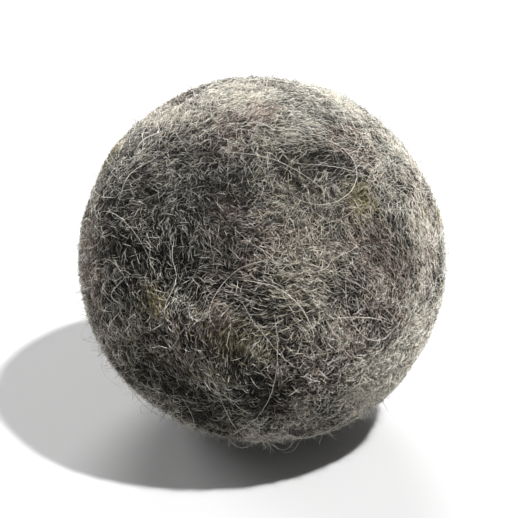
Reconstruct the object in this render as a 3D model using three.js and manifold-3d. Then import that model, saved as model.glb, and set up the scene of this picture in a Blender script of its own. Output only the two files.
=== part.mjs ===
// A hand-felted wool ball for a tumble dryer.
//
// Units are millimetres and +Z is up. The origin is the middle of the flat that the ball rests on,
// and the front faces -Y.
//
// The ball is built from the middle outwards: a ball of wound yarn, four lengths of roving wound
// over it, each turned across the one below, an outer fleece, the tuft that closes the fleece, and
// locks of differently coloured wool laid into the fleece's surface.

import * as THREE from "three";
import { mergeVertices } from "three/addons/utils/BufferGeometryUtils.js";
import Module from "manifold-3d";

const wasm = await Module();
wasm.setup();

// Driving dimensions
const BALL_RADIUS = 36;
const REST_FLAT_DEPTH = 0.7; // how far the wool flattens where it lies
const LAYER_GAP = 0.3; // between pieces that touch
const YARN_CORE_RADIUS = 17.5;
const WRAP_THICKNESS = 3.4;
const WRAP_POLE_OPENING = 5; // radius of the hole that a wound length leaves at each pole
const TUFT_INNER_RADIUS = 5;
const TUFT_OUTER_RADIUS = 6.5;
const LOCK_DEPTH = 1.6; // how deep a lock lies in the fleece at its middle

// How finely round shapes are divided
const BALL_SEGMENTS = 40;
const HOLLOW_SEGMENTS = 24;
const WRAP_SEGMENTS = 20;
const WRAP_PROFILE_STEPS = 8; // from pole to pole along each face of a wrap
const TUFT_SEGMENTS = 16;
const TUFT_PROFILE_STEPS = 4; // from the middle to the edge of each rounded end
const LOCK_SEGMENTS = 16;

// How far a cutter reaches past the surface that it opens
const CUTTER_REACH = 1;

const BALL_CENTRE_HEIGHT = BALL_RADIUS - REST_FLAT_DEPTH;

// The colours of undyed wool
const WOOL = {
  yarn: 0x8a8378,
  pale: 0xa9a397,
  grey: 0x7d7a72,
  charcoal: 0x3b3a38,
  brown: 0x6b5d52,
  beige: 0xa3977f,
  cream: 0xcfc7b4,
  olive: 0x86805f,
};

// The wound lengths of roving, from the innermost out, and the axis that each is wound about
const WRAPS = [
  { name: "first_wrap", axis: "z", colour: WOOL.pale },
  { name: "second_wrap", axis: "x", colour: WOOL.pale },
  { name: "third_wrap", axis: "y", colour: WOOL.grey },
  { name: "fourth_wrap", axis: "z", colour: WOOL.grey },
];

// A place on the ball is a longitude in degrees from the front towards +X, and a latitude.
// At a place, turn swings a piece's length from level, anticlockwise as seen from outside.
const TUFT_PLACE = { longitude: 172, latitude: 50, turn: 0 };

// The coloured locks, with the length and the width of each over the ball's surface
const LOCKS = [
  {
    name: "charcoal_lock_front",
    place: { longitude: -29, latitude: 43, turn: -40 },
    size: { length: 32, width: 20 },
    colour: WOOL.charcoal,
  },
  {
    name: "beige_lock_front",
    place: { longitude: 13, latitude: 29, turn: 95 },
    size: { length: 36, width: 14 },
    colour: WOOL.beige,
  },
  {
    name: "olive_lock_front",
    place: { longitude: -9, latitude: 2, turn: -20 },
    size: { length: 13, width: 7 },
    colour: WOOL.olive,
  },
  {
    name: "brown_lock_right",
    place: { longitude: 41, latitude: 20, turn: -65 },
    size: { length: 28, width: 13 },
    colour: WOOL.brown,
  },
  {
    name: "cream_lock_top",
    place: { longitude: 75, latitude: 76, turn: 5 },
    size: { length: 24, width: 11 },
    colour: WOOL.cream,
  },
  {
    name: "cream_lock_low",
    place: { longitude: 44, latitude: -16, turn: -40 },
    size: { length: 26, width: 12 },
    colour: WOOL.cream,
  },
  {
    name: "brown_lock_left",
    place: { longitude: -72, latitude: 8, turn: -50 },
    size: { length: 27, width: 13 },
    colour: WOOL.brown,
  },
  {
    name: "charcoal_lock_back",
    place: { longitude: 140, latitude: 6, turn: 20 },
    size: { length: 30, width: 15 },
    colour: WOOL.charcoal,
  },
  {
    name: "beige_lock_back",
    place: { longitude: -140, latitude: 24, turn: -30 },
    size: { length: 26, width: 13 },
    colour: WOOL.beige,
  },
];

// A closed solid that manifold-3d can join and cut, from a closed three.js geometry
function solidOf(geometry) {
  const bare = geometry.clone();
  bare.deleteAttribute("normal");
  bare.deleteAttribute("uv");
  const merged = mergeVertices(bare);
  const mesh = new wasm.Mesh({
    numProp: 3,
    vertProperties: new Float32Array(merged.attributes.position.array),
    triVerts: new Uint32Array(merged.index.array),
  });
  return new wasm.Manifold(mesh);
}

function geometryOf(solid) {
  const mesh = solid.getMesh();
  const geometry = new THREE.BufferGeometry();
  geometry.setAttribute("position", new THREE.BufferAttribute(mesh.vertProperties, mesh.numProp));
  geometry.setIndex(new THREE.BufferAttribute(mesh.triVerts, 1));
  return geometry;
}

// A sphere about the ball's middle, with its poles at the top and the bottom
function sphereOf(radius, segments) {
  const sphere = new THREE.SphereGeometry(radius, segments, segments / 2);
  return sphere.rotateX(Math.PI / 2);
}

// The turn that takes +Z to outwards at a place on the ball, and +X along the piece's length there
function turnTo({ longitude, latitude, turn }) {
  const around = THREE.MathUtils.degToRad(longitude);
  const up = THREE.MathUtils.degToRad(latitude);
  const level = new THREE.Vector3(Math.cos(around), Math.sin(around), 0);
  const outwards = new THREE.Vector3(
    Math.cos(up) * Math.sin(around),
    -Math.cos(up) * Math.cos(around),
    Math.sin(up),
  );
  const along = level.applyAxisAngle(outwards, THREE.MathUtils.degToRad(turn));
  const across = new THREE.Vector3().crossVectors(outwards, along);
  return new THREE.Matrix4().makeBasis(along, across, outwards);
}

// Points on an arc about the middle, in a lathe's profile, between two angles from its axis
function profileArc(radius, fromAngle, toAngle, steps) {
  const points = [];
  for (let step = 0; step <= steps; step += 1) {
    const angle = THREE.MathUtils.lerp(fromAngle, toAngle, step / steps);
    points.push(new THREE.Vector2(radius * Math.sin(angle), radius * Math.cos(angle)));
  }
  return points;
}

// The radius at the corners of a divided sphere whose flat facets all stay outside a radius
function cornerRadius(radius, segments) {
  return radius / Math.cos(Math.PI / segments) ** 2;
}

// The outer fleece's inner face, which lies over the last wrap
function fleeceInnerRadius() {
  return YARN_CORE_RADIUS + WRAPS.length * (WRAP_THICKNESS + LAYER_GAP) + LAYER_GAP;
}

// A length of roving wound about one axis: a thick spherical band, open at its two poles
function wrapGeometry(innerRadius, axis) {
  const outerCorner = innerRadius + WRAP_THICKNESS;
  const innerCorner = cornerRadius(innerRadius, WRAP_SEGMENTS);
  const outerPole = Math.asin(WRAP_POLE_OPENING / outerCorner);
  const innerPole = Math.asin(WRAP_POLE_OPENING / innerCorner);
  const profile = [
    ...profileArc(outerCorner, Math.PI - outerPole, outerPole, WRAP_PROFILE_STEPS),
    ...profileArc(innerCorner, innerPole, Math.PI - innerPole, WRAP_PROFILE_STEPS),
  ];
  profile.push(profile[0].clone());
  const band = new THREE.LatheGeometry(profile, WRAP_SEGMENTS);
  if (axis === "x") {
    band.rotateZ(Math.PI / 2);
  }
  if (axis === "z") {
    band.rotateX(Math.PI / 2);
  }
  return band;
}

// A round tapering plug that points outwards along +Z, its two ends rounded to two radii.
// Growing it by a clearance widens it all round.
function plugGeometry(innerRadius, outerRadius, clearance) {
  const innerAngle = Math.asin((TUFT_INNER_RADIUS + clearance) / innerRadius);
  const outerAngle = Math.asin((TUFT_OUTER_RADIUS + clearance) / outerRadius);
  const profile = [
    ...profileArc(innerRadius, 0, innerAngle, TUFT_PROFILE_STEPS),
    ...profileArc(outerRadius, outerAngle, 0, TUFT_PROFILE_STEPS),
  ];
  return new THREE.LatheGeometry(profile, TUFT_SEGMENTS).rotateX(Math.PI / 2);
}

// A lock of wool lying in the ball's surface at the top of the ball, its length along X: its outer
// face follows the ball, and its inner face is a shallow oval bowl. It is a unit sphere bent to
// that shape. Growing it by a clearance widens and deepens the bowl, and lift domes its outer face.
function lockGeometry({ length, width }, clearance, lift) {
  const halfLength = (length / 2 + clearance) / BALL_RADIUS;
  const halfWidth = (width / 2 + clearance) / BALL_RADIUS;
  const depth = LOCK_DEPTH + clearance;
  const lock = new THREE.SphereGeometry(1, LOCK_SEGMENTS, LOCK_SEGMENTS / 2);
  lock.rotateX(Math.PI / 2);
  const positions = lock.attributes.position;
  const direction = new THREE.Vector3();
  for (let index = 0; index < positions.count; index += 1) {
    const height = positions.getZ(index);
    const radius = BALL_RADIUS + (height < 0 ? depth : lift) * height;
    direction.set(
      Math.sin(halfLength * positions.getX(index)),
      Math.sin(halfWidth * positions.getY(index)),
      0,
    );
    direction.z = Math.sqrt(1 - direction.lengthSq());
    positions.setXYZ(index, ...direction.multiplyScalar(radius));
  }
  return lock;
}

// The outer fleece: a felted shell over the last wrap, with the hole that the tuft closes, an oval
// bed for each lock, and the flat that the ball rests on
function fleeceGeometry() {
  const hollowCorner = cornerRadius(fleeceInnerRadius(), HOLLOW_SEGMENTS);
  const hollow = solidOf(sphereOf(hollowCorner, HOLLOW_SEGMENTS));
  const hole = plugGeometry(
    fleeceInnerRadius() - CUTTER_REACH,
    BALL_RADIUS + CUTTER_REACH,
    LAYER_GAP,
  ).applyMatrix4(turnTo(TUFT_PLACE));
  const below = new THREE.BoxGeometry(BALL_RADIUS, BALL_RADIUS, BALL_RADIUS);
  below.translate(0, 0, -BALL_CENTRE_HEIGHT - BALL_RADIUS / 2);
  let fleece = solidOf(sphereOf(BALL_RADIUS, BALL_SEGMENTS));
  fleece = fleece.subtract(hollow).subtract(solidOf(hole)).subtract(solidOf(below));
  for (const { place, size } of LOCKS) {
    const bed = lockGeometry(size, LAYER_GAP, CUTTER_REACH).applyMatrix4(turnTo(place));
    fleece = fleece.subtract(solidOf(bed));
  }
  return geometryOf(fleece);
}

// The tuft that fills the hole where the fleece was drawn together
function tuftGeometry() {
  const tuft = plugGeometry(fleeceInnerRadius(), BALL_RADIUS, 0);
  return tuft.applyMatrix4(turnTo(TUFT_PLACE));
}

const ball = new THREE.Group();
ball.position.z = BALL_CENTRE_HEIGHT;

function addPiece(name, geometry, colour) {
  const material = new THREE.MeshStandardMaterial({ color: colour, roughness: 0.95, metalness: 0 });
  const piece = new THREE.Mesh(geometry, material);
  piece.name = name;
  ball.add(piece);
}

addPiece("yarn_core", sphereOf(YARN_CORE_RADIUS, WRAP_SEGMENTS), WOOL.yarn);

let innerRadius = YARN_CORE_RADIUS + LAYER_GAP;
for (const { name, axis, colour } of WRAPS) {
  addPiece(name, wrapGeometry(innerRadius, axis), colour);
  innerRadius += WRAP_THICKNESS + LAYER_GAP;
}

addPiece("outer_fleece", fleeceGeometry(), WOOL.grey);
addPiece("closing_tuft", tuftGeometry(), WOOL.grey);

for (const { name, place, size, colour } of LOCKS) {
  addPiece(name, lockGeometry(size, 0, 0).applyMatrix4(turnTo(place)), colour);
}

const dryerBall = new THREE.Group();
dryerBall.add(ball);

export default dryerBall;
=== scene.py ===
"""The looks of a hand-felted wool dryer ball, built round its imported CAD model.

Lengths are in metres, in the CAD model's frame: +Z is up and the front faces -Y. A place on the ball
is a direction from its middle, as a row of a numpy array. The wool is real geometry: a felted skin
with a mat of well over a hundred thousand fibres over it, each a thin closed tube.
"""

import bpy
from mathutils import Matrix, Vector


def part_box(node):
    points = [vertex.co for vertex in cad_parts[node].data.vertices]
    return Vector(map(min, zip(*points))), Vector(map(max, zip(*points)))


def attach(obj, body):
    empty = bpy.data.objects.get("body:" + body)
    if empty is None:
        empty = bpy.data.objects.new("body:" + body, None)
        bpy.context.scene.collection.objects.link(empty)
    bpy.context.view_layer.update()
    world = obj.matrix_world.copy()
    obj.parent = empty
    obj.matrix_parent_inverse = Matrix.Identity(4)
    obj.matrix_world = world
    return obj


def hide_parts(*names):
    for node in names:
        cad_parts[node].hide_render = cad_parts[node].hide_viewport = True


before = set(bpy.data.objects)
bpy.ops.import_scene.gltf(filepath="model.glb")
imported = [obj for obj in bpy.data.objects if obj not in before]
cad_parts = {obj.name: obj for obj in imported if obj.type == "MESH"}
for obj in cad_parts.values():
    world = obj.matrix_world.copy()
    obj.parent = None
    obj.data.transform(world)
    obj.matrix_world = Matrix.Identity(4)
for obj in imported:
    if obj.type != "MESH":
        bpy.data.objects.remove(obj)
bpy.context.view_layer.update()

import math

import bpy
import numpy as np
from mathutils import Vector

MM = 0.001

# Where the ball is, from its outer fleece: the fleece's width gives the radius, and its foot the floor
LOW, HIGH = (np.array(corner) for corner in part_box("outer_fleece"))
RADIUS = (HIGH[0] - LOW[0]) / 2
FLOOR = LOW[2]
CENTRE = np.array([(LOW[0] + HIGH[0]) / 2, (LOW[1] + HIGH[1]) / 2, HIGH[2] - RADIUS])

# Sizes that the boxes don't give
LOCK_DEPTH = 1.6 * MM
TUFT_RADIUS = 6.5 * MM
WRAP_THICKNESS = 3.4 * MM
WRAP_POLE_OPENING = 5 * MM  # the radius of the round opening at each pole of a wrap
LAYER_GAP = 0.3 * MM  # between one layer and the next
LOCK_BED_GAP = 0.1 * MM  # between a lock's felt and the bed under it
THINNEST_FELT = 0.02 * MM

FIBRE_LENGTH = (1.2 * MM, 3.9 * MM)
FIBRE_END_DIP = 0.14 * MM  # how far a fibre's ends go down into the felt
BLUNT_END = 0.3  # a fibre's width at its ends, as a share of its full width
COAT_FIBRES = 9900  # in each of the ball's coats
LOCK_FIBRES = 5.5 / MM**2  # fibres to a square metre of a lock
FLECK_FIBRES = 7.0 / MM**2  # and to one of a fleck

# Where each kind of piece starts its own random numbers
WRAP_SEED = 60
COAT_SEED = 100
NAP_SEED = 150
LOCK_SEED = 200
FLECK_SEED = 250
FUZZ_SEED = 300
STRAY_SEED = 310

# The wound lengths of roving: the axis that each is wound about, and its wool
WRAPS = {
    "first_wrap": ("z", "pale_roving"),
    "second_wrap": ("x", "pale_roving"),
    "third_wrap": ("y", "grey_roving"),
    "fourth_wrap": ("z", "grey_roving"),
}

# The locks laid into the fleece: each one's wool, and how pale it is from 0 to 1
LOCKS = {
    "charcoal_lock_front": ("charcoal_wool", 0.42),
    "beige_lock_front": ("beige_wool", 0.56),
    "olive_lock_front": ("olive_wool", 0.54),
    "brown_lock_right": ("brown_wool", 0.48),
    "cream_lock_top": ("cream_wool", 0.48),
    "cream_lock_low": ("cream_wool", 0.46),
    "brown_lock_left": ("brown_wool", 0.46),
    "charcoal_lock_back": ("charcoal_wool", 0.50),
    "beige_lock_back": ("beige_wool", 0.50),
}


# ---------------------------------------------------------------- vectors and random fields


def unit(vectors):
    """The vectors at a length of 1."""
    return vectors / np.linalg.norm(vectors, axis=-1, keepdims=True)


def dot(a, b):
    """The dot product of each row of two arrays, as a column."""
    return (a * b).sum(axis=-1, keepdims=True)


def random_directions(rng, count):
    return unit(rng.normal(size=(count, 3)))


def place(longitude, latitude):
    """A place on the ball, from its longitude in degrees from the front towards +X and its latitude."""
    around = math.radians(longitude)
    up = math.radians(latitude)
    return np.array([math.cos(up) * math.sin(around), -math.cos(up) * math.cos(around), math.sin(up)])


WAVES = 20  # in each random field
WAVE_RATES = (0.6, 1.4)  # how closely their crests follow each other, as a share of the middle rate


def wave_field(size, seed):
    """A smooth random function of place on the ball, about 0 with a spread of 1, whose humps are about
    size across: a sum of plane waves in random directions."""
    rng = np.random.default_rng(seed)
    vectors = random_directions(rng, WAVES) * rng.uniform(*WAVE_RATES, (WAVES, 1)) * math.pi / size
    phases = rng.uniform(0, 2 * math.pi, WAVES)

    def field(directions):
        turns = directions * RADIUS @ vectors.T + phases
        return np.cos(turns).sum(axis=-1) * math.sqrt(2 / WAVES)

    return field


# The felt's lumps and dents, from the ball's slow unevenness to its pimples: size across and height
LUMPS = (
    (wave_field(34 * MM, seed=11), 0.16 * MM),
    (wave_field(13 * MM, seed=12), 0.09 * MM),
    (wave_field(5 * MM, seed=13), 0.06 * MM),
    (wave_field(2.2 * MM, seed=14), 0.05 * MM),
)


def felt_radius(directions):
    """How far the felt's surface is from the ball's middle."""
    radius = np.full(directions.shape[:-1], RADIUS)
    for field, height in LUMPS:
        radius = radius + height * field(directions)
    return radius


def placed(directions, radius, clearance=0.0):
    """Points at a radius from the ball's middle, none of them below the floor."""
    points = CENTRE + directions * radius[..., None]
    points[..., 2] = np.maximum(points[..., 2], FLOOR + clearance)
    return points


# ---------------------------------------------------------------- where each lock lies


class Oval:
    """The oval patch of the ball that a lock covers, from its CAD node's own shape."""

    def __init__(self, node):
        vertices = np.array([v.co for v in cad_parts[node].data.vertices])
        rays = unit(vertices - CENTRE)
        self.middle = unit(rays.mean(axis=0))
        flat = rays - dot(rays, self.middle) * self.middle
        _, _, axes = np.linalg.svd(flat, full_matrices=False)
        self.along, self.across = axes[0], axes[1]
        self.half_length = np.abs(flat @ self.along).max()
        self.half_width = np.abs(flat @ self.across).max()

    def reach(self, directions):
        """0 at the oval's middle, 1 at its edge, and more outside it."""
        sideways = (directions @ self.across) / self.half_width
        lengthways = (directions @ self.along) / self.half_length
        reach = np.hypot(sideways, lengthways)
        return np.where(directions @ self.middle > 0, reach, np.inf)

    def scattered(self, rng, count, thinning):
        """Random places round the oval's middle, which thin out over this share of its reach."""
        offset = rng.normal(size=(count, 2)) * thinning
        direction = (
            self.middle
            + offset[:, :1] * self.along * self.half_length
            + offset[:, 1:] * self.across * self.half_width
        )
        return unit(direction)


OVALS = {name: Oval(name) for name in LOCKS}
TUFT_MIDDLE = unit(sum(np.array(corner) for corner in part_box("closing_tuft")) / 2 - CENTRE)
TUFT_HALF_ANGLE = math.asin(TUFT_RADIUS / RADIUS)

FLEECE_SHADE = 0.45  # how pale the fleece usually is, from 0 to 1
PAINTED_GAP_SHADE = 0.46  # painted shade: how much darker the felt is than the fibres over it, for the shade in the gaps between them

# How the fleece's shade varies all over the ball: random fields, and how strong each is
MARLING = (
    (wave_field(17 * MM, seed=21), 0.055),
    (wave_field(7 * MM, seed=22), 0.08),
    (wave_field(3 * MM, seed=23), 0.055),
)

# The broad dark and pale parts of the fleece, some of them painted light and shade: where each is, how far
# it reaches, how much paler it is
TONES_AND_PAINTED_LIGHT = (
    (place(-34, 38), 20 * MM, -0.20),
    (place(-14, 22), 11 * MM, -0.16),
    (place(30, 37), 6 * MM, -0.14),
    # painted shade: the bottom darkened, partly for its own darker wool
    (place(-5, -34), 20 * MM, -0.32),
    # painted shade on the lower left
    (place(-42, -20), 14 * MM, -0.18),
    # partly paler wool, partly painted light on the top
    (place(60, 84), 15 * MM, 0.18),
    # partly paler wool, partly painted light on the upper right edge
    (place(98, 56), 13 * MM, 0.04),
    (place(12, 35), 9 * MM, 0.10),
    (place(52, 24), 9 * MM, -0.09),
    # partly pale wool, partly a painted pool of bounced light on the lower right
    (place(50, -18), 14 * MM, 0.32),
    # painted light: the upper left edge made paler for the glow along it
    (place(-82, 50), 10 * MM, 0.18),
    (place(-160, 30), 16 * MM, 0.12),
    (place(110, -20), 18 * MM, 0.10),
    (place(150, 40), 18 * MM, -0.12),
)


def fleece_tone_and_painted_light(directions):
    """How dark or pale the fleece is at each place, with the painted light and shade of its broad tones in
    it.
    """
    shade = np.full(directions.shape[:-1], FLEECE_SHADE)
    for field, strength in MARLING:
        shade = shade + strength * field(directions)
    for middle, size, change in TONES_AND_PAINTED_LIGHT:
        distance = RADIUS * np.arccos(np.clip(directions @ middle, -1, 1))
        shade = shade + change * np.exp(-((distance / size) ** 2))
    return shade


# ---------------------------------------------------------------- meshes


def add_mesh(name, points, faces, shade, slot, material):
    """A piece of the ball from points (n, 3), faces as a list of arrays (n, corners), and a shade for
    each point, which the wool's material reads."""
    mesh = bpy.data.meshes.new(name)
    mesh.vertices.add(len(points))
    mesh.vertices.foreach_set("co", points.astype(np.float32).ravel())
    corners = np.concatenate([group.ravel() for group in faces]).astype(np.int32)
    sizes = np.concatenate([np.full(len(group), group.shape[1]) for group in faces])
    starts = np.concatenate([[0], np.cumsum(sizes)[:-1]]).astype(np.int32)
    mesh.loops.add(len(corners))
    mesh.loops.foreach_set("vertex_index", corners)
    mesh.polygons.add(len(starts))
    mesh.polygons.foreach_set("loop_start", starts)
    mesh.attributes.new("shade", "FLOAT", "POINT").data.foreach_set("value", shade.astype(np.float32))
    mesh.update()
    mesh.shade_smooth()
    mesh.materials.append(material)
    piece = bpy.data.objects.new(name, mesh)
    bpy.context.scene.collection.objects.link(piece)
    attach(piece, "root")
    return piece


def tubes(paths, widths, sides=3, narrowing=0.5):
    """(points, faces, tube of each point): closed tubes along paths (n, steps, 3). Each narrows to a
    blunt point over the given share of its length at both ends."""
    count, steps, _ = paths.shape
    run = unit(np.gradient(paths, axis=1))
    out = paths - CENTRE
    side = unit(np.cross(run, out))
    out = np.cross(side, run)
    along = np.linspace(0, 1, steps)
    to_end = np.clip(np.minimum(along, 1 - along) / narrowing, 0, 1)
    radii = widths[:, None] / 2 * (BLUNT_END + (1 - BLUNT_END) * np.sqrt(to_end))
    turn = 2 * math.pi * np.arange(sides) / sides
    ring = np.cos(turn)[:, None] * out[:, :, None] + np.sin(turn)[:, None] * side[:, :, None]
    points = paths[:, :, None] + radii[:, :, None, None] * ring
    first = np.arange(count)[:, None, None] * steps * sides
    ring_start = first + np.arange(steps - 1)[None, :, None] * sides
    corner = np.arange(sides)[None, None, :]
    after = (corner + 1) % sides
    walls = np.stack(
        [ring_start + corner, ring_start + sides + corner, ring_start + sides + after, ring_start + after],
        axis=-1,
    ).reshape(-1, 4)
    start_cap = first[:, 0] + np.arange(sides)[None, :]
    end_cap = (first[:, 0] + (steps - 1) * sides + np.arange(sides)[None, :])[:, ::-1]
    owner = np.repeat(np.arange(count), steps * sides)
    return points.reshape(-1, 3), [walls, np.vstack([start_cap, end_cap])], owner


# ---------------------------------------------------------------- fibres

# The felt's grain circles round this place, where the ball was rolled, and wanders a little
SWIRL = place(13, 17)
GRAIN_FIELDS = [wave_field(14 * MM, seed=31 + axis) for axis in range(3)]
GRAIN_WANDER = 0.5
GRAIN_ORDER = 1.7  # how strongly the fibres in a mat follow the grain, next to their own headings


def headings_at(rng, directions, order):
    """A random heading for each place, which leans towards the felt's grain by order."""
    wander = np.stack([field(directions) for field in GRAIN_FIELDS], axis=-1)
    grain = SWIRL + GRAIN_WANDER * wander
    return unit(np.cross(directions, order * grain + rng.normal(size=directions.shape)))


CRIMP_PACE = (1.2, 2.2)  # how far a fibre's crimp wave goes on from one step to the next, in radians
FIBRE_CURL = 22  # how much the fibres in a mat bend either way, in turns for each metre
FIBRE_CRIMP = 0.13  # and how much they wave from side to side, in radians for each step
FIBRE_STEPS = 4  # the points along one


def surface_walk(rng, starts, headings, lengths, steps, curl, crimp):
    """Places (n, steps, 3) along curving walks over the ball. Each bends steadily by its own random
    curl, in turns for each metre, and waves from side to side by crimp, in radians for each step."""
    count = len(starts)
    step = (lengths / (steps - 1) / RADIUS)[:, None]
    bend = rng.normal(0, curl, count) * 2 * math.pi * lengths / (steps - 1)
    wave_phase = rng.uniform(0, 2 * math.pi, count)
    wave_turn = rng.uniform(*CRIMP_PACE, count)
    here, heading = starts, headings
    walk = [here]
    for number in range(steps - 1):
        wave = crimp * np.cos(wave_phase + number * wave_turn)
        here = unit(here + step * heading)
        heading = unit(heading - dot(heading, here) * here)
        heading = unit(heading + np.cross(here, heading) * np.tan(bend + wave)[:, None])
        walk.append(here)
    return np.stack(walk, axis=1)


def half_a_length_back(starts, headings, lengths):
    """Where walks begin so that they are centred on their places, and their headings there."""
    back = unit(starts - headings * (lengths / 2 / RADIUS)[:, None])
    return back, unit(headings - dot(headings, back) * back)


RISES_OF_A_FIBRE = (0.5, 1.6)  # how many times a fibre rises out of the felt along its length
WEAVE_DEPTH = 0.55  # from a fibre's middle height to its top, as a share of its height


def weaving_height(rng, heights, steps):
    """Heights over the felt (n, steps) of fibres that rise out of it and dip back under it."""
    count = len(heights)
    along = np.linspace(0, 1, steps)
    phase = rng.uniform(0, 2 * math.pi, (count, 1))
    rises = rng.uniform(*RISES_OF_A_FIBRE, (count, 1))
    weave = 1 + WEAVE_DEPTH * (np.cos(phase + 2 * math.pi * rises * along) - 1)
    ends = FIBRE_END_DIP * np.abs(2 * along - 1) ** 3
    return heights[:, None] * weave - ends


FIBRE_TO_FIBRE = 0.14  # how much the shades of alike fibres vary


def fibre_shades(rng, shade, spread):
    """A marled wool's shade for each fibre: dark ones and pale ones mixed evenly."""
    side = rng.choice((-1, 1), shade.shape)
    return np.clip(shade + spread * side + rng.normal(0, FIBRE_TO_FIBRE, shade.shape), 0.0, 1.0)


def mat(name, rng, starts, shade, slot, length, width, height, spread, steps=FIBRE_STEPS):
    """A mat of fibres that weave in and out of the felt round given places. length, width and height
    are each a (lowest, highest) pair."""
    count = len(starts)
    lengths = rng.uniform(*length, count)
    widths = rng.uniform(*width, count)
    heights = rng.uniform(*height, count)
    back, headings = half_a_length_back(starts, headings_at(rng, starts, GRAIN_ORDER), lengths)
    walk = surface_walk(rng, back, headings, lengths, steps, FIBRE_CURL, FIBRE_CRIMP)
    lift = weaving_height(rng, heights, steps)
    paths = placed(walk, felt_radius(walk) + lift, clearance=widths.max() / 2)
    points, faces, owner = tubes(paths, widths)
    shades = fibre_shades(rng, shade, spread)
    add_mesh(name, points, faces, shades[owner], slot, WOOLS[slot])


FUZZ_RISE = (0.4, 2.4)  # how steeply a loose end leaves the felt: the tangent of its angle
FUZZ_BEND = (-0.45, -0.05)  # how far it curls over at each step, in radians
FUZZ_LEAN = 0.5  # how far it curls sideways as well


def standing_fuzz(name, rng, starts, shade, slot, length, width, spread, steps):
    """Loose fibre ends that stand off the felt and curl over."""
    count = len(starts)
    lengths = rng.uniform(*length, count)
    widths = rng.uniform(*width, count)
    rise = rng.uniform(*FUZZ_RISE, count)[:, None]
    heading = unit(headings_at(rng, starts, order=0) + rise * starts)
    axis = unit(np.cross(heading, starts) + FUZZ_LEAN * rng.normal(size=starts.shape))
    bend = rng.uniform(*FUZZ_BEND, count)[:, None]
    step = (lengths / (steps - 1))[:, None]
    point = placed(starts, felt_radius(starts) - FIBRE_END_DIP)
    paths = [point]
    for _ in range(steps - 1):
        point = point + heading * step
        paths.append(point)
        heading = unit(heading * np.cos(bend) + np.cross(axis, heading) * np.sin(bend))
    paths = np.stack(paths, axis=1)
    paths[..., 2] = np.maximum(paths[..., 2], FLOOR + widths.max() / 2)
    points, faces, owner = tubes(paths, widths)
    shades = fibre_shades(rng, shade, spread)
    add_mesh(name, points, faces, shades[owner], slot, WOOLS[slot])


# ---------------------------------------------------------------- materials


MOTTLING = 0.22  # how far the fine noise in a wool moves its shade, either way


def wool_material(name, dark, middle, pale):
    """Wool. The mesh's shade picks a colour from dark to pale, and a fine noise mottles it. The
    colours are linear RGB."""
    material = bpy.data.materials.new(name)
    material.use_nodes = True
    nodes = material.node_tree.nodes
    links = material.node_tree.links
    shader = nodes["Principled BSDF"]
    shader.inputs["Roughness"].default_value = 0.6
    shader.inputs["Specular IOR Level"].default_value = 0.10
    shader.inputs["Sheen Weight"].default_value = 0.03
    shader.inputs["Sheen Roughness"].default_value = 0.45
    shader.inputs["Sheen Tint"].default_value = (1.0, 0.96, 0.88, 1.0)

    place_in_wool = nodes.new("ShaderNodeTexCoord")
    mottle = nodes.new("ShaderNodeTexNoise")
    mottle.inputs["Scale"].default_value = 2600
    mottle.inputs["Detail"].default_value = 4
    links.new(place_in_wool.outputs["Object"], mottle.inputs["Vector"])
    spread = nodes.new("ShaderNodeMapRange")
    spread.inputs["To Min"].default_value = -MOTTLING
    spread.inputs["To Max"].default_value = MOTTLING
    links.new(mottle.outputs["Fac"], spread.inputs["Value"])

    shade = nodes.new("ShaderNodeAttribute")
    shade.attribute_name = "shade"
    total = nodes.new("ShaderNodeMath")
    total.operation = "ADD"
    links.new(shade.outputs["Fac"], total.inputs[0])
    links.new(spread.outputs["Result"], total.inputs[1])
    ramp = nodes.new("ShaderNodeValToRGB")
    ramp.color_ramp.interpolation = "EASE"
    ramp.color_ramp.elements[0].color = (*dark, 1)
    ramp.color_ramp.elements[1].color = (*pale, 1)
    ramp.color_ramp.elements.new(0.5).color = (*middle, 1)
    links.new(total.outputs[0], ramp.inputs["Fac"])
    links.new(ramp.outputs["Color"], shader.inputs["Base Color"])
    return material


def felted(material):
    """The material with a fibrous bump, for wool that is matted into a surface."""
    matted = material.copy()
    matted.name = material.name + "_felted"
    nodes = matted.node_tree.nodes
    links = matted.node_tree.links
    place_in_wool = nodes.new("ShaderNodeTexCoord")
    fibrous = nodes.new("ShaderNodeTexNoise")
    fibrous.inputs["Scale"].default_value = 900
    fibrous.inputs["Detail"].default_value = 6
    fibrous.inputs["Distortion"].default_value = 1.5
    links.new(place_in_wool.outputs["Object"], fibrous.inputs["Vector"])
    bump = nodes.new("ShaderNodeBump")
    bump.inputs["Strength"].default_value = 0.5
    bump.inputs["Distance"].default_value = 0.15 * MM
    links.new(fibrous.outputs["Fac"], bump.inputs["Height"])
    links.new(bump.outputs["Normal"], nodes["Principled BSDF"].inputs["Normal"])
    return matted


# Each slot's colours where the shade is 0, a half and 1
WOOL_COLOURS = {
    "grey_fleece": ((0.006, 0.006, 0.005), (0.120, 0.113, 0.098), (0.72, 0.69, 0.61)),
    "brown_wool": ((0.008, 0.005, 0.005), (0.118, 0.088, 0.075), (0.61, 0.50, 0.43)),
    "charcoal_wool": ((0.004, 0.004, 0.004), (0.050, 0.050, 0.046), (0.50, 0.49, 0.46)),
    "beige_wool": ((0.012, 0.010, 0.008), (0.185, 0.168, 0.134), (0.84, 0.78, 0.64)),
    "cream_wool": ((0.03, 0.028, 0.023), (0.28, 0.268, 0.232), (0.90, 0.88, 0.80)),
    "olive_wool": ((0.010, 0.009, 0.004), (0.138, 0.118, 0.064), (0.66, 0.57, 0.34)),
    "core_yarn": ((0.05, 0.045, 0.04), (0.27, 0.25, 0.215), (0.60, 0.56, 0.48)),
    "pale_roving": ((0.05, 0.048, 0.042), (0.33, 0.31, 0.27), (0.70, 0.67, 0.60)),
    "grey_roving": ((0.03, 0.029, 0.026), (0.17, 0.16, 0.14), (0.50, 0.48, 0.42)),
}
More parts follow.
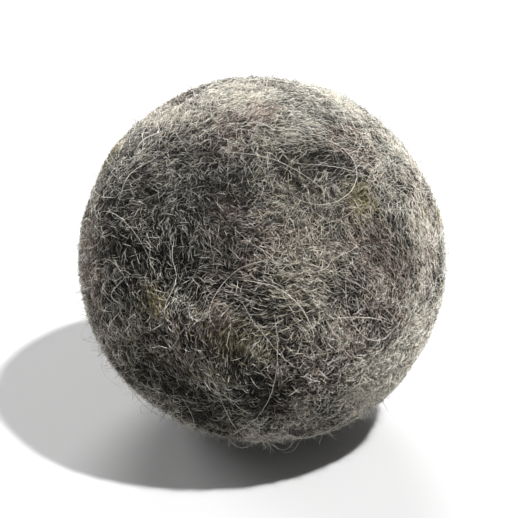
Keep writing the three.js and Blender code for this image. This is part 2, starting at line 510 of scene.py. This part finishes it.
WOOLS = {slot: wool_material(slot, *colours) for slot, colours in WOOL_COLOURS.items()}
FELTED_WOOLS = {slot: felted(wool) for slot, wool in WOOLS.items()}


# ---------------------------------------------------------------- the felted skin and its locks


SKIN_FINENESS = 7  # how finely the skin's sphere is divided, as Blender counts it


def icosphere(levels):
    """(directions, triangles) of a sphere divided evenly."""
    bpy.ops.mesh.primitive_ico_sphere_add(subdivisions=levels, radius=1)
    ball = bpy.context.object
    mesh = ball.data
    directions = np.empty(len(mesh.vertices) * 3)
    mesh.vertices.foreach_get("co", directions)
    triangles = np.empty(len(mesh.polygons) * 3, dtype=np.int32)
    mesh.polygons.foreach_get("vertices", triangles)
    bpy.data.objects.remove(ball)
    bpy.data.meshes.remove(mesh)
    return unit(directions.reshape(-1, 3)), triangles.reshape(-1, 3)


def shell(directions, triangles, outer, inner):
    """(points, faces, directions used): a closed shell between two radii, over the given triangles
    of a sphere."""
    used = np.unique(triangles)
    renumber = np.full(len(directions), -1)
    renumber[used] = np.arange(len(used))
    top = renumber[triangles]
    bottom = top[:, ::-1] + len(used)
    edges = np.vstack([top[:, [0, 1]], top[:, [1, 2]], top[:, [2, 0]]])
    codes = edges[:, 0] * len(used) + edges[:, 1]
    opposite = edges[:, 1] * len(used) + edges[:, 0]
    rim = edges[~np.isin(codes, opposite)]
    walls = np.column_stack([rim[:, 1], rim[:, 0], rim[:, 0] + len(used), rim[:, 1] + len(used)])
    outside = placed(directions[used], outer[used])
    inside = placed(directions[used], inner[used], clearance=LAYER_GAP)
    return np.vstack([outside, inside]), [np.vstack([top, bottom]), walls], used


def make_lock_pad(name, directions, triangles, surface):
    """The felted pad of a lock, whose underside is a shallow bowl. Returns how deep the bed for it is
    in each direction."""
    slot, shade = LOCKS[name]
    oval = OVALS[name]
    reach = np.minimum(oval.reach(directions), 1)
    depth = LOCK_DEPTH * (1 - reach**2)
    underside = surface - np.maximum(depth - LOCK_BED_GAP, THINNEST_FELT)
    middles = unit(directions[triangles].mean(axis=1))
    chosen = triangles[oval.reach(middles) < 1]
    points, faces, used = shell(directions, chosen, surface, underside)
    fleece = fleece_tone_and_painted_light(directions[used])
    # the felt is painted darker than the fibres over it, painted shade for the gaps between them
    ground = shade + (fleece - shade) * reach[used] ** 2 - PAINTED_GAP_SHADE
    pad = add_mesh(name + "_felt", points, faces, np.tile(ground, 2), slot, FELTED_WOOLS[slot])
    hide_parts(name)
    return depth


def make_skin(directions, triangles):
    """The pads of the locks, then the outer fleece and its closing tuft with beds for them."""
    surface = felt_radius(directions)
    bed = surface.copy()
    for name in LOCKS:
        bed -= make_lock_pad(name, directions, triangles, surface)
    hollow = np.full(len(directions), OUTERMOST_WRAP + LAYER_GAP)
    in_tuft = unit(directions[triangles].mean(axis=1)) @ TUFT_MIDDLE > math.cos(TUFT_HALF_ANGLE)
    slot = "grey_fleece"
    for node, chosen in (("outer_fleece", ~in_tuft), ("closing_tuft", in_tuft)):
        points, faces, used = shell(directions, triangles[chosen], bed, hollow)
        # the felt is painted darker than the fibres over it, painted shade for the gaps between them
        ground = fleece_tone_and_painted_light(directions[used]) - PAINTED_GAP_SHADE
        piece = add_mesh(node + "_felt", points, faces, np.tile(ground, 2), slot, FELTED_WOOLS[slot])
        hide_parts(node)


# ---------------------------------------------------------------- the wound inside

# The core's strand: two plies twisted together and wound from the middle outwards
STRAND_WIDTH = 2.4 * MM
PLY_WIDTH = 0.56 * STRAND_WIDTH
PLY_SIDES = 6
PLY_NARROWING = 0.002  # the share of its length over which each end of a ply narrows
PLY_TWIST = 7 * MM  # the length of strand in which the plies go once round each other
CORE_TURNS = 66
STEPS_IN_A_TURN = 48
TURN_TILT = 0.173  # how far the next turn's circle is tilted and spun, in turns for each turn wound
TURN_SPIN = 0.131
CORE_START = 0.002  # the share of the core's volume that the first turn begins at
CORE_SHADE = 0.47
CORE_MOTTLING = 0.12  # how much its shade varies
CORE_MOTTLE_SIZE = 3 * MM
PLY_TO_PLY = 0.06  # how much paler the second ply is


def make_yarn_core():
    """One strand wound from the middle outwards. Each turn is a circle that is tilted a little
    further than the one before, so the turns cross."""
    core_low, core_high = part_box("yarn_core")
    radius = (core_high[0] - core_low[0]) / 2
    steps = CORE_TURNS * STEPS_IN_A_TURN
    angle = np.linspace(0, 2 * math.pi * CORE_TURNS, steps)
    tilt = TURN_TILT * angle
    spin = TURN_SPIN * angle
    x = np.cos(angle)
    y = np.sin(angle) * np.cos(tilt)
    z = np.sin(angle) * np.sin(tilt)
    spun_x = x * np.cos(spin) - y * np.sin(spin)
    spun_y = x * np.sin(spin) + y * np.cos(spin)
    wound = np.stack([spun_x, spun_y, z], axis=-1)
    # the same length of strand fills the same volume, so the radius grows as its cube root
    grown = (radius - STRAND_WIDTH / 2) * np.cbrt(np.linspace(CORE_START, 1, steps))
    middle = wound * grown[:, None]
    run = unit(np.gradient(middle, axis=0))
    side = unit(np.cross(run, wound))
    out = np.cross(side, run)
    travelled = np.cumsum(np.linalg.norm(np.gradient(middle, axis=0), axis=-1))
    twist = (2 * math.pi * travelled / PLY_TWIST)[:, None]
    ply_offset = STRAND_WIDTH / 4 * (np.cos(twist) * out + np.sin(twist) * side)
    plies = CENTRE + np.stack([middle + ply_offset, middle - ply_offset])
    points, faces, owner = tubes(plies, np.full(2, PLY_WIDTH), PLY_SIDES, PLY_NARROWING)
    mottling = wave_field(CORE_MOTTLE_SIZE, seed=51)(unit(points - CENTRE))
    shade = CORE_SHADE + CORE_MOTTLING * mottling + PLY_TO_PLY * owner
    slot = "core_yarn"
    core = add_mesh("yarn_core_strand", points, faces, shade, slot, FELTED_WOOLS[slot])
    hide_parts("yarn_core")


# Each length of roving is one spiral from pole to pole of its axis, of turns that felt together
WRAP_TURNS = 13
STRANDS_IN_A_TURN = 3
TURN_RIDGE = 0.55 * MM
STRAND_RIDGE = 0.12 * MM
FELTED_RIDGE = 0.05 * MM
FELTED_SIZE = 2.5 * MM  # across the humps that the felting left
FELTED_SINK = 2  # how far felting lowers a wrap, in ridges, so that its humps stay within its size
AROUND_STEPS = 150
OUTSIDE_STEPS = 230
INSIDE_STEPS = 30

# How pale a wrap is on the top of a turn and on its inside, and how much the turns, the strands and the
# felting change that:
# painted shade, darker in the grooves between the turns and the strands, in the dips of the felting and on
# the inside
WRAP_SHADE = 0.58
PAINTED_WRAP_INSIDE_SHADE = 0.3
PAINTED_TURN_GROOVE_SHADE = 0.28
PAINTED_STRAND_GROOVE_SHADE = 0.05
PAINTED_FELTING_SHADE = 0.06


def wrap_directions(axis, down):
    """Directions (AROUND_STEPS, down) round an axis, at angles down from its pole, and those angles."""
    around = 2 * math.pi * np.arange(AROUND_STEPS) / AROUND_STEPS
    down, around = np.meshgrid(down, around)
    across = np.sin(down)
    directions = np.stack([across * np.cos(around), across * np.sin(around), np.cos(down)], axis=-1)
    order = {"x": [2, 0, 1], "y": [1, 2, 0], "z": [0, 1, 2]}[axis]
    return directions[..., order], down, around


def closed_grid(rows, columns):
    """The faces of a grid of points that joins up with itself both ways."""
    row = np.arange(rows)[:, None]
    column = np.arange(columns)[None, :]
    next_row = (row + 1) % rows
    next_column = (column + 1) % columns
    corners = [
        row * columns + column,
        row * columns + next_column,
        next_row * columns + next_column,
        next_row * columns + column,
    ]
    return np.stack(corners, axis=-1).reshape(-1, 4)


def make_wrap(name, seed):
    """A length of roving wound about one axis: a thick band of turns, side by side, that leaves a
    round opening at both poles."""
    axis, slot = WRAPS[name]
    low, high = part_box(name)
    outer = max(high[side] - low[side] for side in range(3)) / 2
    inner = outer - WRAP_THICKNESS
    opening = math.asin(WRAP_POLE_OPENING / inner)
    outside, down, around = wrap_directions(axis, np.linspace(opening, math.pi - opening, OUTSIDE_STEPS))
    inside, _, _ = wrap_directions(axis, np.linspace(math.pi - opening, opening, INSIDE_STEPS))
    turn = WRAP_TURNS * 2 * math.pi * (down - opening) / (math.pi - 2 * opening) + around
    turn_ridge = np.sqrt(np.abs(np.cos(turn / 2))) - 1
    felting = wave_field(FELTED_SIZE, seed)(outside)
    strand_ridge = np.cos(STRANDS_IN_A_TURN * turn + felting) - 1
    felted_ridge = felting - FELTED_SINK
    relief = TURN_RIDGE * turn_ridge + STRAND_RIDGE * strand_ridge + FELTED_RIDGE * felted_ridge
    to_opening = np.minimum(down - opening, math.pi - opening - down) * outer
    rounded = np.sqrt(1 - (1 - np.clip(to_opening / WRAP_THICKNESS, 0, 1)) ** 2)
    outer_radius = inner + np.maximum((WRAP_THICKNESS + relief) * rounded, THINNEST_FELT)
    loops = np.concatenate([outside * outer_radius[..., None], inside * inner], axis=1)
    # painted shade: darker down in the grooves and dips of the relief
    shade = WRAP_SHADE + PAINTED_TURN_GROOVE_SHADE * turn_ridge + PAINTED_STRAND_GROOVE_SHADE * strand_ridge
    shade += PAINTED_FELTING_SHADE * felting
    # the inside is painted darker, as shade
    shades = np.concatenate([shade, np.full(inside.shape[:2], PAINTED_WRAP_INSIDE_SHADE)], axis=1)
    faces = closed_grid(AROUND_STEPS, OUTSIDE_STEPS + INSIDE_STEPS)
    points = CENTRE + loops.reshape(-1, 3)
    band = add_mesh(name + "_roving", points, [faces], shades.ravel(), slot, FELTED_WOOLS[slot])
    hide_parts(name)


# The outermost wrap's radius, which the fleece is hollow to
OUTERMOST_WRAP = (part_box("fourth_wrap")[1][0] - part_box("fourth_wrap")[0][0]) / 2

make_yarn_core()
for number, wrap in enumerate(WRAPS):
    make_wrap(wrap, seed=WRAP_SEED + number)
make_skin(*icosphere(SKIN_FINENESS))


# ---------------------------------------------------------------- the fibre coats

CHOICES_FOR_ONE = 5  # the random places that each place is chosen from


def places_for(rng, count, liking):
    """Random places on the ball, chosen more often where liking, a function of place, is high."""
    directions = random_directions(rng, count * CHOICES_FOR_ONE)
    wish = np.exp(liking(directions))
    return directions[rng.choice(len(directions), count, replace=False, p=wish / wish.sum())]


# Where the brown and olive wools lie: in patches, and the brown more on one side of the ball
BROWNING = wave_field(11 * MM, seed=41)
BROWN_SIDE = place(50, -20)
OLIVING = wave_field(9 * MM, seed=42)
PATCHINESS = 1.8  # how sharply a wool keeps to its patches
SIDEDNESS = 1.4  # how sharply it keeps to its side
SORTING = 9  # how sharply pale wool keeps to pale fleece, and dark to dark, painted light and shade included


# The likings, each a function of place: a wool lies more often where its liking is high. The pale and dark
# places follow the fleece's tone with its painted light and shade.


def pale_places(directions):
    return SORTING * (fleece_tone_and_painted_light(directions) - FLEECE_SHADE)


def dark_places(directions):
    return -pale_places(directions)


def brown_places(directions):
    return PATCHINESS * BROWNING(directions) + SIDEDNESS * directions @ BROWN_SIDE


def olive_places(directions):
    return PATCHINESS * OLIVING(directions)


def anywhere(directions):
    return np.zeros(len(directions))


# Each coat: where it likes to lie, its wool, how much paler than the fleece it is, how far one fibre's
# shade strays from the next, and the ranges of height over the felt and of width in millimetres
# painted shade: the lower coats are darker and the higher ones paler, for the shade deep in the mat
COATS = {
    "undercoat_charcoal": (dark_places, "charcoal_wool", -0.30, 0.08, (0.00, 0.15), (0.10, 0.17)),
    "undercoat_grey": (anywhere, "grey_fleece", -0.40, 0.08, (0.00, 0.15), (0.10, 0.17)),
    "undercoat_brown": (brown_places, "brown_wool", -0.40, 0.08, (0.00, 0.15), (0.10, 0.17)),
    "middle_coat_charcoal": (dark_places, "charcoal_wool", -0.04, 0.28, (0.10, 0.45), (0.07, 0.12)),
    "middle_coat_grey": (anywhere, "grey_fleece", -0.18, 0.28, (0.10, 0.45), (0.07, 0.12)),
    "middle_coat_brown": (brown_places, "brown_wool", -0.14, 0.28, (0.10, 0.45), (0.07, 0.12)),
    "middle_coat_olive": (olive_places, "olive_wool", -0.14, 0.28, (0.10, 0.45), (0.07, 0.12)),
    "upper_coat_grey": (anywhere, "grey_fleece", 0.06, 0.38, (0.30, 0.75), (0.06, 0.10)),
    "upper_coat_pale": (pale_places, "beige_wool", 0.06, 0.38, (0.30, 0.75), (0.06, 0.10)),
    "upper_coat_brown": (brown_places, "brown_wool", 0.06, 0.38, (0.30, 0.75), (0.06, 0.10)),
    "top_coat_grey": (anywhere, "grey_fleece", 0.30, 0.42, (0.45, 1.00), (0.05, 0.10)),
    "top_coat_cream": (pale_places, "cream_wool", 0.22, 0.42, (0.45, 1.00), (0.05, 0.10)),
}


def make_coats():
    for number, (name, coat) in enumerate(COATS.items()):
        liking, slot, change, spread, height, width = coat
        rng = np.random.default_rng(COAT_SEED + number)
        starts = places_for(rng, COAT_FIBRES, liking)
        mat(
            name,
            rng,
            starts,
            fleece_tone_and_painted_light(starts) + change,
            slot,
            length=FIBRE_LENGTH,
            width=np.array(width) * MM,
            height=np.array(height) * MM,
            spread=spread,
        )


# The short, very fine fibres of the felt's surface: where each kind likes to lie, and its wool
NAP = {"nap_grey": (anywhere, "grey_fleece"), "nap_pale": (pale_places, "beige_wool")}
NAP_FIBRES = 14000
NAP_STEPS = 3
NAP_LENGTH = (0.8 * MM, 2.2 * MM)
NAP_WIDTH = (0.05 * MM, 0.08 * MM)
NAP_HEIGHT = (0.35 * MM, 0.85 * MM)
NAP_PALER = 0.08  # than the fleece
NAP_SPREAD = 0.42  # how far one fibre's shade strays from the next


def make_nap():
    for number, (name, (liking, slot)) in enumerate(NAP.items()):
        rng = np.random.default_rng(NAP_SEED + number)
        starts = places_for(rng, NAP_FIBRES, liking)
        mat(
            name,
            rng,
            starts,
            fleece_tone_and_painted_light(starts) + NAP_PALER,
            slot,
            length=NAP_LENGTH,
            width=NAP_WIDTH,
            height=NAP_HEIGHT,
            spread=NAP_SPREAD,
            steps=NAP_STEPS,
        )


# The fibres over the locks
LOCK_FIBRE_WIDTH = (0.06 * MM, 0.11 * MM)
LOCK_FIBRE_HEIGHT = (0.10 * MM, 0.85 * MM)
LOCK_FIBRE_SPREAD = 0.28  # how far one fibre's shade strays from the next
LOCK_THINNING = 0.6  # how far from a lock's middle its fibres usually are, as a share of its reach


def make_lock_fibres():
    for number, (name, (slot, shade)) in enumerate(LOCKS.items()):
        rng = np.random.default_rng(LOCK_SEED + number)
        oval = OVALS[name]
        area = math.pi * oval.half_length * oval.half_width * RADIUS**2
        count = round(area * LOCK_FIBRES)
        starts = oval.scattered(rng, count, LOCK_THINNING)
        mat(
            name + "_fibres",
            rng,
            starts,
            np.full(count, shade),
            slot,
            length=FIBRE_LENGTH,
            width=LOCK_FIBRE_WIDTH,
            height=LOCK_FIBRE_HEIGHT,
            spread=LOCK_FIBRE_SPREAD,
        )


# Small flecks of stained wool: where each is, how far it reaches, its wool, and how much paler than
# the fleece it is
FLECKS = (
    (place(42, 40), 4.0 * MM, "olive_wool", 0.14),
    (place(-35, 10), 3.2 * MM, "olive_wool", 0.12),
    (place(-12, 7), 2.6 * MM, "brown_wool", 0.12),
    (place(-15, 43), 3.6 * MM, "brown_wool", -0.12),
    (place(0, 78), 3.6 * MM, "brown_wool", 0.12),
    (place(-100, 35), 4.0 * MM, "olive_wool", 0.12),
    (place(170, -5), 4.5 * MM, "brown_wool", 0.12),
    (place(95, 12), 3.6 * MM, "olive_wool", 0.12),
)
FLECK_FIBRE_WIDTH = (0.06 * MM, 0.10 * MM)
FLECK_FIBRE_HEIGHT = (0.45 * MM, 1.05 * MM)
FLECK_FIBRE_SPREAD = 0.22  # how far one fibre's shade strays from the next


def make_flecks():
    rng = np.random.default_rng(FLECK_SEED)
    for number, (middle, size, slot, change) in enumerate(FLECKS):
        count = round(math.pi * size**2 * FLECK_FIBRES)
        starts = unit(middle + rng.normal(size=(count, 3)) * size / 2 / RADIUS)
        mat(
            f"fleck_{number + 1}",
            rng,
            starts,
            fleece_tone_and_painted_light(starts) + change,
            slot,
            length=FIBRE_LENGTH,
            width=FLECK_FIBRE_WIDTH,
            height=FLECK_FIBRE_HEIGHT,
            spread=FLECK_FIBRE_SPREAD,
        )


# The loose ends that stand off the felt: how many, how pale on fleece of the usual shade, how much that
# varies, their length and width in millimetres, and the points along one. They are paler than the fleece,
# partly painted light for the glow of their backlit halo.
FUZZ = {
    "long_fuzz": (7600, 0.70, 0.2, (1.2, 3.8), (0.04, 0.08), 5),
    "short_fuzz": (9900, 0.75, 0.1, (0.5, 1.6), (0.04, 0.07), 4),
}


def make_fuzz():
    rng = np.random.default_rng(FUZZ_SEED)
    for name, (count, shade, spread, length, width, steps) in FUZZ.items():
        starts = random_directions(rng, count)
        standing_fuzz(
            name,
            rng,
            starts,
            shade + fleece_tone_and_painted_light(starts) - FLEECE_SHADE,
            "cream_wool",
            length=np.array(length) * MM,
            width=np.array(width) * MM,
            spread=spread,
            steps=steps,
        )


# The few long fibres that the felting only half caught
STRAYS = 90
STRAY_STEPS = 48
STRAY_LENGTH = (12 * MM, 38 * MM)
STRAY_WIDTH = (0.07 * MM, 0.12 * MM)
STRAY_LIE = 0.25 * MM  # how far over the felt one lies
STRAY_LOOP = (0.2 * MM, 3.4 * MM)  # how far its loops stand off
MOST_LOOPS = 3
STRAY_CURL = 9  # how much one bends either way, in turns for each metre
STRAY_CRIMP = 0.10  # and how much it waves from side to side, in radians for each step
STRAY_SHADE = (0.75, 1.0)


def make_strays():
    """Each stray wanders over the ball, and here and there stands off it in a low loop."""
    rng = np.random.default_rng(STRAY_SEED)
    starts = random_directions(rng, STRAYS)
    lengths = rng.uniform(*STRAY_LENGTH, STRAYS)
    widths = rng.uniform(*STRAY_WIDTH, STRAYS)
    headings = headings_at(rng, starts, order=1)
    walk = surface_walk(rng, starts, headings, lengths, STRAY_STEPS, STRAY_CURL, STRAY_CRIMP)
    along = np.linspace(0, 1, STRAY_STEPS)
    loops = rng.integers(1, MOST_LOOPS + 1, (STRAYS, 1))
    loop_height = rng.uniform(*STRAY_LOOP, (STRAYS, 1))
    lift = STRAY_LIE + loop_height * np.sin(math.pi * along * loops) ** 2
    paths = placed(walk, felt_radius(walk) + lift, clearance=widths.max())
    points, faces, owner = tubes(paths, widths)
    shades = rng.uniform(*STRAY_SHADE, STRAYS)
    slot = "grey_fleece"
    add_mesh("stray_fibres", points, faces, shades[owner], slot, WOOLS[slot])


make_coats()
make_nap()
make_lock_fibres()
make_flecks()
make_fuzz()
make_strays()


# ---------------------------------------------------------------- stage, light and camera

FLOOR_RADIUS = 30  # so far that its edge doesn't show
FLOOR_GREY = 0.45
SKY_FADE = (0.16, 0.32)  # how high the sky begins and ends its change, as the sine of the angle up


def add_floor():
    """The pale surface that the ball rests on."""
    material = bpy.data.materials.new("pale_floor")
    material.use_nodes = True
    shader = material.node_tree.nodes["Principled BSDF"]
    shader.inputs["Base Color"].default_value = (FLOOR_GREY, FLOOR_GREY, FLOOR_GREY, 1)
    shader.inputs["Roughness"].default_value = 0.9
    bpy.ops.mesh.primitive_circle_add(
        vertices=96, radius=FLOOR_RADIUS, fill_type="NGON", location=(CENTRE[0], CENTRE[1], FLOOR)
    )
    floor = bpy.context.object
    floor.name = "floor"
    floor.data.materials.append(material)


def add_sun(name, towards, softness, strength):
    """A distant lamp that shines from a direction, with shadows softened by an angle in degrees."""
    light = bpy.data.lights.new(name, "SUN")
    light.angle = math.radians(softness)
    light.energy = strength
    lamp = bpy.data.objects.new(name, light)
    lamp.rotation_euler = (-Vector(towards)).to_track_quat("-Z", "Y").to_euler()
    bpy.context.scene.collection.objects.link(lamp)


def add_sky(overhead, horizon):
    """An even surround of the given strengths, brightest at the horizon, as a studio's white walls
    are."""
    world = bpy.data.worlds.new("studio")
    world.use_nodes = True
    nodes = world.node_tree.nodes
    links = world.node_tree.links
    direction = nodes.new("ShaderNodeTexCoord")
    parts = nodes.new("ShaderNodeSeparateXYZ")
    links.new(direction.outputs["Generated"], parts.inputs[0])
    strength = nodes.new("ShaderNodeMapRange")
    strength.inputs["From Min"].default_value = SKY_FADE[0]
    strength.inputs["From Max"].default_value = SKY_FADE[1]
    strength.inputs["To Min"].default_value = horizon
    strength.inputs["To Max"].default_value = overhead
    links.new(parts.outputs["Z"], strength.inputs["Value"])
    links.new(strength.outputs["Result"], nodes["Background"].inputs["Strength"])
    nodes["Background"].inputs["Color"].default_value = (1.0, 1.0, 1.0, 1)
    bpy.context.scene.world = world


def add_camera(elevation, distance, view_width):
    """A camera in front of the ball, this many degrees up, that takes in a width at this distance."""
    angle = math.radians(elevation)
    camera = bpy.data.cameras.new("camera")
    camera.sensor_width = 36
    camera.lens = camera.sensor_width * distance / view_width
    camera.clip_end = 100
    eye = bpy.data.objects.new("camera", camera)
    offset = Vector((0, -math.cos(angle), math.sin(angle))) * distance
    eye.location = Vector(CENTRE) + offset
    eye.rotation_euler = (-offset).to_track_quat("-Z", "Y").to_euler()
    bpy.context.scene.collection.objects.link(eye)
    bpy.context.scene.camera = eye


add_floor()
add_sky(overhead=0.15, horizon=1.0)
add_sun("key", towards=(0.40, -0.18, 0.88), softness=3, strength=6.1)
add_sun("back_rim", towards=(-0.08, 0.80, 0.60), softness=30, strength=3.4)
add_sun("left_rim", towards=(-0.72, 0.58, 0.38), softness=30, strength=2.2)
add_camera(elevation=27, distance=0.5, view_width=0.104)
bpy.context.scene.view_settings.view_transform = "Standard"
